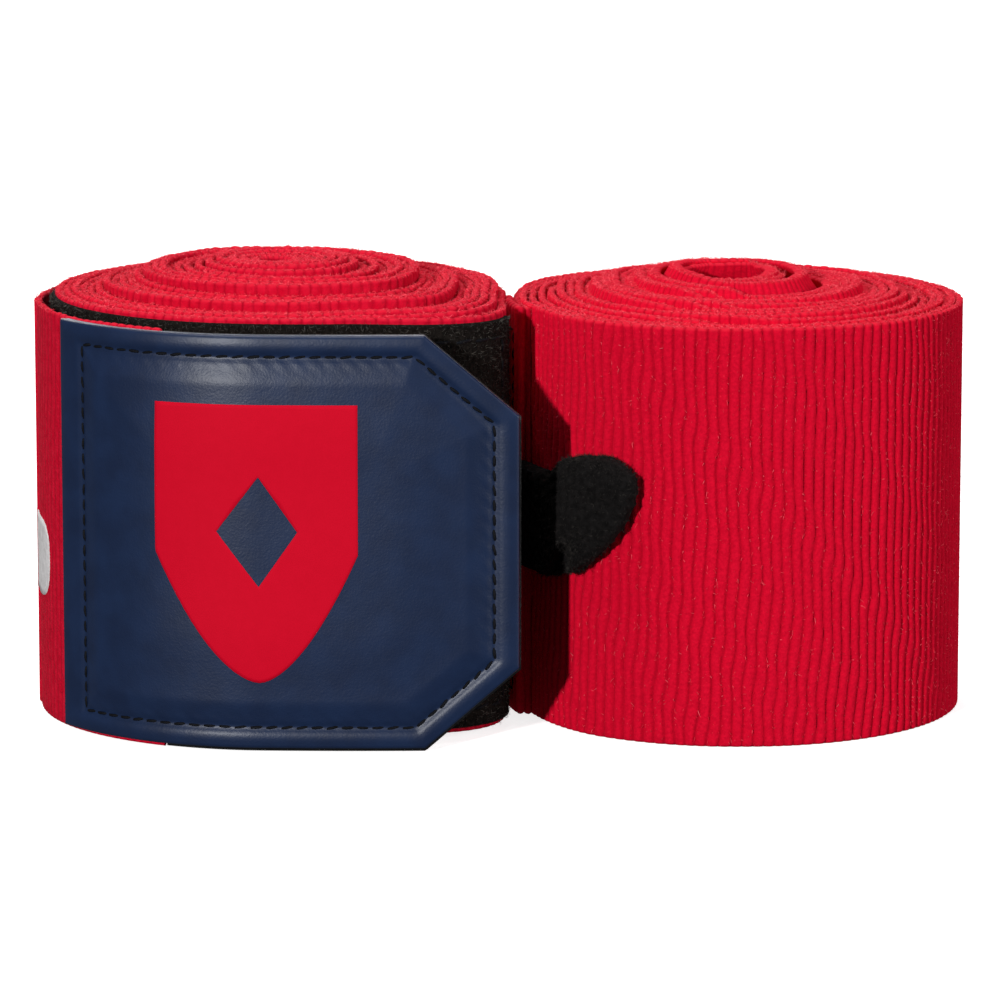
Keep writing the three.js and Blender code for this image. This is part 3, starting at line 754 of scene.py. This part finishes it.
def hooks(name, track, start, end, spacing):
    """Rows of tiny bent hooks on the back of the hook panel."""
    rng = np.random.default_rng(9)
    shaft = [(0, 0.0), (0, -0.22), (0.10, -0.32), (0.20, -0.25)]
    points, faces = [], []
    for along in np.arange(start + 0.8, end - 0.6, spacing):
        half = float(patch_half(along, 0.9))
        for across in np.arange(-half, half, spacing):
            side = rng.choice([-1, 1])
            spot = np.array([along, across]) + rng.uniform(-0.12, 0.12, 2)
            first = len(points)
            for step, depth in shaft:
                for dx, dy in ((-0.06, -0.06), (0.06, -0.06), (0.06, 0.06), (-0.06, 0.06)):
                    points.append((spot[0] + side * step + dx, 0.05 + depth, PATCH_MIDDLE + spot[1] + dy))
            for column in range(len(shaft) - 1):
                for edge in range(4):
                    a = first + column * 4 + edge
                    b = first + column * 4 + (edge + 1) % 4
                    faces.append((a, b, b + 4, a + 4))
            faces.append((first + 12, first + 13, first + 14, first + 15))
    points = np.array(points)
    piece = new_piece(name, track.points(points[:, 0], points[:, 1], points[:, 2]), faces, hook, False)
    return piece


def closure(prefix, body, track, step, rows, puff):
    tongue_end = TONGUE_OVERLAP + 0.3
    panel = skin(f"{prefix}_hook_base", patch_grid(
        track, tongue_end, PATCH_LENGTH + 0.3, -0.25, 1.0, 24,
        lambda along, across: HOOK_FACES[1] + 0 * across, HOOK_FACES[0], 0.3), hook)
    base = skin(f"{prefix}_backing", patch_grid(
        track, 0.04, PATCH_LENGTH - 0.04, 0.04, 0.5, 60,
        lambda along, across: BACKING_FACES[1] + 0 * across, BACKING_FACES[0]), backing)
    face = skin(f"{prefix}_leather", patch_grid(
        track, 0, PATCH_LENGTH, 0, step, rows,
        lambda along, across: leather_offset(along, across, puff), LEATHER_BACK), leather)
    seam = stitches(
        f"{prefix}_stitches", track, lambda along, across: float(leather_offset(along, across, puff)),
        seam_corners(), PATCH_STITCH, lambda along: PATCH_MIDDLE,
    )
    hook_rows = hooks(f"{prefix}_hooks", track, tongue_end, PATCH_LENGTH, 1.0)
    for piece in (panel, base, face, seam, hook_rows):
        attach(piece, body)
    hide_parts(f"{prefix}_hook_panel")
    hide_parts(f"{prefix}_patch_skin", f"{prefix}_patch_foam")
    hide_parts(f"{prefix}_patch_thread")
    print(prefix, "closure faces:", sum(len(p.data.polygons) for p in (panel, base, face, seam, hook_rows)))


closure("wrap_a", "closure_flap", flap, 0.30, 150, PUFF_OUTSIDE)


class Reversed:
    """The right roll's closure was wound first, from its free end."""

    def points(self, length, offset, height):
        return roll_b.points(PATCH_LENGTH - np.asarray(length), offset, height)


inner_track = Reversed()
closure("wrap_b", "right_roll", inner_track, 0.8, 60, PUFF_ROLLED)

# %% [markdown]
# ## The printed mark
# The strip carries a plain white bar near the closure, printed on its outer face. The mark on
# the leather is a plain shield with a lozenge left open in its middle. It is thin
# and lies on the swollen skin, so it asks the skin for its height. A ring of columns runs round
# the shield, each one from the lozenge's edge out to the shield's edge.

# %% Shield
EMBLEM_LENGTH, EMBLEM_HEIGHT, EMBLEM_SHOULDER = 23, 33, 15
LOZENGE_LENGTH, LOZENGE_HEIGHT = 9, 13
EMBLEM_PLACE = 0.47
FOOT_SIDE = 0.15


def shield_edge(angle):
    """The distance from the lozenge's centre to the shield's edge, in one direction."""
    reach = np.linspace(0.2, 24, 2400)
    x, y = reach * math.cos(angle), reach * math.sin(angle)
    share = np.abs(x) / (EMBLEM_LENGTH / 2)
    foot = EMBLEM_HEIGHT - EMBLEM_SHOULDER
    lower = -foot * (FOOT_SIDE + (1 - FOOT_SIDE) * (1 - np.minimum(share, 1) ** 1.7))
    inside = (share <= 1) & (y <= EMBLEM_SHOULDER) & (y >= lower)
    return reach[inside].max()


def lozenge_edge(angle):
    return 1 / (abs(math.cos(angle)) / (LOZENGE_LENGTH / 2) + abs(math.sin(angle)) / (LOZENGE_HEIGHT / 2))


def emblem(name, track, body, puff):
    corner = math.atan2(EMBLEM_SHOULDER, EMBLEM_LENGTH / 2)
    shoulder = math.atan2(-FOOT_SIDE * (EMBLEM_HEIGHT - EMBLEM_SHOULDER), EMBLEM_LENGTH / 2)
    special = [corner, math.pi - corner, shoulder, math.pi - shoulder]
    special += [0, math.pi / 2, math.pi, -math.pi / 2]
    angles = np.unique(np.concatenate([np.linspace(-math.pi, math.pi, 181)[:-1], special]).round(5))
    angles = angles[angles < math.pi - 1e-3]
    inner = np.array([lozenge_edge(a) for a in angles])[:, None]
    outer = np.array([shield_edge(a) for a in angles])[:, None]
    share = np.linspace(0, 1, 26)[None, :]
    reach = inner + (outer - inner) * share
    along = PATCH_LENGTH * EMBLEM_PLACE + reach * np.cos(angles)[:, None]
    across = EMBLEM_HEIGHT / 2 - EMBLEM_SHOULDER + reach * np.sin(angles)[:, None]
    level = leather_offset(along, across, puff)
    rounded = 0.06 * np.sqrt(np.sin(np.clip(share, 0.004, 0.996) * math.pi))
    face = track.points(along, level + 0.02 + rounded, PATCH_MIDDLE + across)
    rear = track.points(along, level - 0.10, PATCH_MIDDLE + across)[:, ::-1]
    piece = skin(name, np.concatenate([face, rear], axis=1), mark_red, closed=True)
    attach(piece, body)
    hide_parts(name.replace("_shield", "_patch_emblem"))


emblem("wrap_a_shield", flap, "closure_flap", PUFF_OUTSIDE)
emblem("wrap_b_shield", inner_track, "right_roll", PUFF_ROLLED)
print("shield, mm:", EMBLEM_LENGTH, EMBLEM_HEIGHT)

# %% A plain printed bar on the strip
BAR_FROM, BAR_TO = -27, -6.4
BAR_MIDDLE, BAR_HEIGHT = 19.2, 9.5


def printed_bar():
    length = np.linspace(BAR_FROM, BAR_TO, 70)
    share = np.abs(2 * length - BAR_FROM - BAR_TO) / (BAR_TO - BAR_FROM)
    half = BAR_HEIGHT / 2 * np.sqrt(np.clip(1 - share ** 8, 0.002, 1))
    over_tail = smooth_step(length, HINGE - 15, HINGE - 13)
    level = (1.03 - 0.28 * over_tail)[:, None]
    rows = np.linspace(-1, 1, 12)[None, :]
    height = BAR_MIDDLE + half[:, None] * rows
    face = flap.points(length[:, None], level + 0 * rows, height)
    rear = flap.points(length[:, None], level - 0.12 + 0 * rows, height)[:, ::-1]
    bar = skin("wrap_a_printed_bar", np.concatenate([face, rear], axis=1), mark_white)
    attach(bar, "left_roll")


printed_bar()
print("bar, mm:", BAR_TO - BAR_FROM, BAR_HEIGHT)

# %% [markdown]
# ## The loop pile
# The black panel that the hooks grip is a woven band with a surface of tiny loops. The band is
# a skin with fine relief. Its loops are drawn by short bent fibres, thousands in one mesh.


# %% Fibres
def fibres(name, root, way, bend, width, material, seed):
    """root, way and bend are (count, 3) in millimetres: where a fibre starts, where its tip goes,
    and how its middle bows out of the straight line."""
    rng = np.random.default_rng(seed)
    count = len(root)
    across = np.cross(way, rng.normal(size=(count, 3)))
    across *= width / (np.linalg.norm(across, axis=1, keepdims=True) + 1e-9)
    middle = root + way * 0.55 + bend
    points = np.stack([root - across, root + across, middle + across * 0.8, middle - across * 0.8,
                       root + way], axis=1)
    start = np.arange(count) * 5
    quads = np.stack([start, start + 1, start + 2, start + 3], axis=1).tolist()
    tips = np.stack([start + 3, start + 2, start + 4], axis=1).tolist()
    return new_piece(name, points.reshape(-1, 3), quads + tips, material)


PILE_FACES = (0.66, 1.45)
PILE_ROOT = 1.42
PILE_FIBRES = 9


def pile_panel(prefix, body, roll, start, end, rise, sunk, seed):
    """sunk is how far the panel's upper edge stays under the strip's."""
    length = np.arange(start, end, 0.30)
    low, high = rise(length) + 0.6, rise(length) + STRIP_WIDTH - sunk
    offset, height = section(
        low, high, PILE_FACES[0] + 0 * length, PILE_FACES[1] + 0 * length, np.linspace(0, 1, 90))
    along = length[:, None] + 0 * height
    weave = 0.07 * np.sin(along * 2 * math.pi / 0.9) * np.sin(height * 2 * math.pi / 0.9)
    rough = 0.07 * wander(along * 3 + height * 5, 1.1, seed) * wander(height * 2.2 - along, 1.3, seed + 1)
    offset = offset + (weave + rough) * (offset > 1.0)
    panel = skin(f"{prefix}_pile", roll.points(along, offset, height), pile)
    rng = np.random.default_rng(seed)
    count = int((end - start) * 48 * PILE_FIBRES)
    at = rng.uniform(start + 0.2, end - 0.2, count)
    share = rng.uniform(0, 1, count)
    base = np.interp(at, length, low)
    level = base + share * np.interp(at, length, high - low)
    root = roll.points(at, PILE_ROOT + 0 * at, level)
    tip = roll.points(at + rng.normal(0, 0.28, count), PILE_ROOT + rng.uniform(0.12, 0.40, count),
                      level + rng.normal(0, 0.28, count))
    bend = roll.points(at, PILE_ROOT + rng.uniform(0.0, 0.16, count), level) - root
    loops = fibres(f"{prefix}_pile_loops", root, tip - root, bend, 0.030, pile_fibre, seed)
    for piece in (panel, loops):
        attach(piece, body)
    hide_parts(f"{prefix}_pile_panel")
    low_side, top_side = -STRIP_WIDTH / 2 + 3, STRIP_WIDTH / 2 - sunk - 2.1
    corners = np.array([(start + 2.8, low_side), (end - 2.8, low_side), (end - 2.8, top_side),
                        (start + 2.8, top_side), (start + 2.8, low_side)])
    seam = stitches(
        f"{prefix}_pile_stitches", roll, lambda along, across: PILE_FACES[1], corners, 2.2,
        lambda along: float(rise(np.array([along]))[0]) + STRIP_WIDTH / 2, 0.18,
    )
    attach(seam, body)
    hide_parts(f"{prefix}_pile_thread")
    print(prefix, "pile fibres:", count)


pile_fibre = finish("pile_fibre", (0.014, 0.011, 0.009), (0.07, 0.06, 0.05), 0.8, [])
pile_panel("wrap_a", "left_roll", roll_a, *pile_a, rise_a, 0.9, 81)
pile_panel("wrap_b", "right_roll", roll_b, *pile_b, rise_b, 6.0, 91)

# %% [markdown]
# ## The thumb loop
# A soft black knit tape, folded double. Outside the right roll it leaves the hem, stands out
# from the roll as a fat little bight, whose tip has been pulled up and is longest near its top.
# The lower edge of its outer layer has ridden up.

# %% The bight
ROOT_LENGTH = 6
LOOP_REACH = 13.5
TAPE_WIDTH = 14
LOOP_FOOT, LOOP_TIP, LOOP_TOP = 19.5, 31.5, 34.5
loop_start = WOUND_LENGTH + 0.3 + ROOT_LENGTH


def tape_relief(along, height, seed):
    """Slanting rows of soft stitches."""
    across = height + along * 0.55
    row = np.abs(np.sin(math.pi * across / 1.55)) ** 0.8
    stitch = np.abs(np.sin(math.pi * (along - height * 0.35) / 1.25 + 0.8 * np.floor(across / 1.55)))
    lumps = wander(along * 2 + height, 1.2, seed) * wander(height * 2 - along, 1.5, seed + 1)
    return 0.30 * row + 0.14 * stitch + 0.14 * lumps


def bight(start, reach, thick, seed):
    """The middle line runs out along the roll, round the tip and back outside it. The tip is
    longest at one height, and falls back above and under it."""
    go = np.linspace(0, 1, 44)
    tip = np.linspace(0, math.pi, 30)[1:-1]
    share = np.concatenate([go * 0.84, 0.84 + 0.16 * np.sin(tip), go[::-1] * 0.84])[:, None]
    side = np.concatenate([-np.ones(44), -np.cos(tip), np.ones(44)])[:, None]
    opens = 0.40 + 0.60 * smooth_step(share, 0.05, 0.55)
    centre = 1.30 + 0.55 * smooth_step(share, 0.05, 0.55)
    line = centre + side * opens
    around = np.linspace(0, 2 * math.pi, 65)[None, :-1]
    half = TAPE_WIDTH / 2 - 0.3
    up = np.sign(np.sin(around)) * np.abs(np.sin(around)) ** 0.8
    flat = np.sign(np.cos(around)) * np.abs(np.cos(around)) ** 0.45 * thick / 2
    outer_layer = smooth_step(side, -0.2, 0.8)
    curl = outer_layer * 3.8 * np.exp(-(((share - 0.55) / 0.26) ** 2)) * np.clip(-up, 0, 1) ** 2
    dip = 1.9 * (1 - smooth_step(share, 0.0, 0.5)) * np.clip(up, 0, 1)
    lifted = STRIP_WIDTH / 2 + 0.3 + 1.7 * smooth_step(share, 0.0, 0.6)
    height = lifted + (half + 0.5 * share) * up + curl - dip
    above = np.clip((height - LOOP_TIP) / (LOOP_TOP - LOOP_TIP), 0, 1)
    under = np.clip((LOOP_TIP - height) / (LOOP_TIP - LOOP_FOOT), 0, 1)
    along = share * reach * (1 - share * (0.25 * above ** 2 + 0.62 * under ** 2))
    d_along, d_line = np.gradient(share[:, 0] * reach), np.gradient(line[:, 0])
    run = np.hypot(d_along, d_line)
    normal_along, normal_out = (-d_line / run)[:, None], (d_along / run)[:, None]
    path_length = np.cumsum(run)[:, None]
    relief = tape_relief(path_length, height, seed) * flat / (thick / 2)
    out = flat + relief
    return roll_b.points(start + along + out * normal_along, line + out * normal_out, height)


loop_points = bight(loop_start + 0.5, LOOP_REACH - 0.4, 1.3, 33)
thumb = skin("wrap_b_thumb_bight", loop_points, tape)
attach(thumb, "thumb_loop")
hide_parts("wrap_b_thumb_loop")
print("bight faces:", len(thumb.data.polygons))


# %% Its sewn root, and the rolled loop in the left roll's core
def flat_tape(name, body, track_points, length, inner, outer, middle, seed, wide=TAPE_WIDTH):
    low, high = 0 * length + middle - wide / 2, 0 * length + middle + wide / 2
    offset, height = section(low, high, 0 * length + inner, 0 * length + outer, np.linspace(0, 1, 46))
    along = length[:, None] + 0 * height
    offset = offset + tape_relief(along, height, seed) * (offset > (inner + outer) / 2) * 0.7
    piece = skin(name, track_points(along, offset, height), tape)
    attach(piece, body)
    return piece


ROOT_FACE = HEM_FACE + 0.5
root_run = np.arange(WOUND_LENGTH - 1.0, loop_start + 1.4, 0.22)
root = flat_tape(
    "wrap_b_thumb_root", "right_roll", roll_b.points, root_run, 0.0, ROOT_FACE, STRIP_WIDTH / 2, 35,
    TAPE_WIDTH - 1.4)
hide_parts("wrap_b_thumb_loop_root")

core_low, core_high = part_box("wrap_a_thumb_loop")
core_middle = (core_low.z + core_high.z) / 2 / MM
ROLLED_TURNS = 1.1
ROLLED_FACE = 1.2
turn = np.linspace(0, ROLLED_TURNS * 2 * math.pi, 70)
core_radius = 2.2 - 1.4 * (ROLLED_TURNS - turn / 2 / math.pi)
core_x = roll_a.centre_x + core_radius * np.cos(turn)
core_y = roll_a.centre_y + core_radius * np.sin(turn)
core_length = np.concatenate([[0], np.cumsum(np.hypot(np.diff(core_x), np.diff(core_y)))])
core = Track(core_length, core_x, core_y)
rolled = flat_tape(
    "wrap_a_thumb_rolled", "left_roll", core.points, core_length, 0.0, ROLLED_FACE, core_middle, 37)
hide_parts("wrap_a_thumb_loop")
print("root and rolled loop run, mm:", round(root_run[-1] - root_run[0], 1), round(core_length[-1], 1))

# %% [markdown]
# ## The hem
# The strip's end is folded back on its outside and sewn down, and the loop is sewn over it.

# %% Hem and its threads
HEM_SEAM_SIDE = 22
TAPE_SEAM_SIDE = 5.8
hem = knit_strip(
    "wrap_b_hem", roll_b, WOUND_LENGTH - HEM_LENGTH, WOUND_LENGTH, 0.125, np.linspace(0, 1, 60),
    lambda length: 0.1 + 0 * length, (0.80, HEM_FACE), 0.26, 66, elastic,
)
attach(hem, "right_roll")
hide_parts("wrap_b_end_hem")


def box_seam(name, body, track, start, end, side, offset, middle, node):
    corners = np.array([(start, side), (end, side), (end, -side), (start, -side), (start, side)])
    seam = stitches(name, track, lambda along, across: offset, corners, 2.0, lambda along: middle, 0.16)
    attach(seam, body)
    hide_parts(node)


box_seam("wrap_b_hem_stitches", "right_roll", roll_b, WOUND_LENGTH - HEM_LENGTH + 1.2, WOUND_LENGTH - 1.2,
         HEM_SEAM_SIDE, HEM_FACE, STRIP_WIDTH / 2, "wrap_b_hem_thread")
box_seam("wrap_b_thumb_stitches", "right_roll", roll_b, WOUND_LENGTH + 0.6, loop_start - 0.6,
         TAPE_SEAM_SIDE, ROOT_FACE, STRIP_WIDTH / 2, "wrap_b_thumb_loop_thread")
box_seam("wrap_a_rolled_stitches", "left_roll", core, 6, 11,
         TAPE_SEAM_SIDE, ROLLED_FACE, core_middle, "wrap_a_thumb_loop_thread")
print("hem and seams, mm:", HEM_LENGTH, HEM_SEAM_SIDE * 2, TAPE_SEAM_SIDE * 2)

# %% [markdown]
# ## Fuzz
# A used knit isn't clean: short broken fibres stand out of its cut edges and catch the light.
# They are the same bent fibres as the pile's, scattered along the upper edge of every turn.


# %% Fibres on the upper edges
def edge_fuzz(name, body, roll, start, end, per_mm, rise, lean, thickness, strip_seed, seed):
    rng = np.random.default_rng(seed)
    count = int((end - start) * per_mm)
    at = rng.uniform(start, end, count)
    top = rise(at) + STRIP_WIDTH - EDGE_DROP + turn_wave(at, strip_seed)
    out = rng.uniform(0, thickness, count) - (lean(at) * 0.86 if lean else 0)
    root = roll.points(at, out, top - rng.uniform(0, 0.25, count))
    tip = roll.points(at + rng.normal(0, 0.30, count), out + rng.normal(0, 0.25, count),
                      top + rng.uniform(0.0, 0.24, count))
    piece = fibres(name, root, tip - root, rng.normal(0, 0.07, (count, 3)), 0.028, red_fibre, seed)
    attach(piece, body)


FUZZ_PER_MM = 9
edge_fuzz(
    "wrap_a_edge_fuzz", "left_roll", roll_a, 0, STRIP_END_A - 3, FUZZ_PER_MM, rise_a, lean_a, 0.9,
    SEED_A, 201)
edge_fuzz(
    "wrap_b_edge_fuzz", "right_roll", roll_b, 60, WOUND_LENGTH, FUZZ_PER_MM, rise_b, lean_b, 0.7,
    SEED_B, 202)

# %% Fibres on the outer turn's face
FACE_FIBRES = 15000
rng = np.random.default_rng(203)
at = rng.uniform(WOUND_LENGTH - OUTER_TURN + 2, WOUND_LENGTH - 2, FACE_FIBRES)
level = rng.uniform(0.5, STRIP_WIDTH - 0.5, FACE_FIBRES)
root_points = roll_b.points(at, 0.68 + 0 * at, level)
tips = roll_b.points(
    at + rng.normal(0, 0.18, FACE_FIBRES), 0.85 + rng.uniform(0, 0.12, FACE_FIBRES),
    level + rng.normal(0, 0.3, FACE_FIBRES))
flecks = fibres(
    "wrap_b_face_fibres", root_points, tips - root_points, rng.normal(0, 0.03, (FACE_FIBRES, 3)),
    0.030, red_fibre, 204)
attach(flecks, "right_roll")
print("fibres on the outer turn:", FACE_FIBRES)


# %% Fibres on the thumb loop
def surface_fuzz(name, body, grid, count, length, width, material, seed):
    """Fibres that stand out of a skin's own points, roughly along its outward side."""
    rng = np.random.default_rng(seed)
    columns, ring = grid.shape[:2]
    column, place = rng.integers(1, columns - 1, count), rng.integers(0, ring, count)
    here = grid[column, place]
    along = grid[column + 1, place] - grid[column - 1, place]
    around = grid[column, (place + 1) % ring] - grid[column, place - 1]
    normal = np.cross(along, around)
    normal /= (np.linalg.norm(normal, axis=1, keepdims=True) + 1e-9)
    way = (normal * rng.uniform(0.1, 1, (count, 1)) + rng.normal(0, 0.6, (count, 3))) * length
    piece = fibres(name, here, way, rng.normal(0, 0.10, (count, 3)), width, material, seed)
    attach(piece, body)


tape_fibre = finish("tape_fibre", (0.006, 0.005, 0.005), (0.035, 0.031, 0.028), 0.9, [], 2000, 0.0, 0.1)
surface_fuzz("wrap_b_thumb_fuzz", "thumb_loop", loop_points, 16000, 0.30, 0.026, tape_fibre, 205)

# %% [markdown]
# ## Placing the stage
# The pair stands on white paper. The paper gives off a little light, so it stays white under
# small lamps, but it isn't seen in reflections and lights nothing, so the rolls keep their shadows.

# %% Floor
bpy.ops.mesh.primitive_plane_add(size=6, location=(0, 0, 0))
floor = bpy.context.object
floor.name = "floor"
paper = finish("white_paper", (0.80, 0.80, 0.80), (0.82, 0.82, 0.82), 0.9, [])
paper.node_tree.nodes["Principled BSDF"].inputs["Emission Color"].default_value = (1, 1, 1, 1)
paper.node_tree.nodes["Principled BSDF"].inputs["Emission Strength"].default_value = 0.8
floor.data.materials.append(paper)
floor.visible_diffuse = False
floor.visible_glossy = False
print("floor:", floor.name)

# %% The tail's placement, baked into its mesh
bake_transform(tail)
bpy.context.view_layer.update()
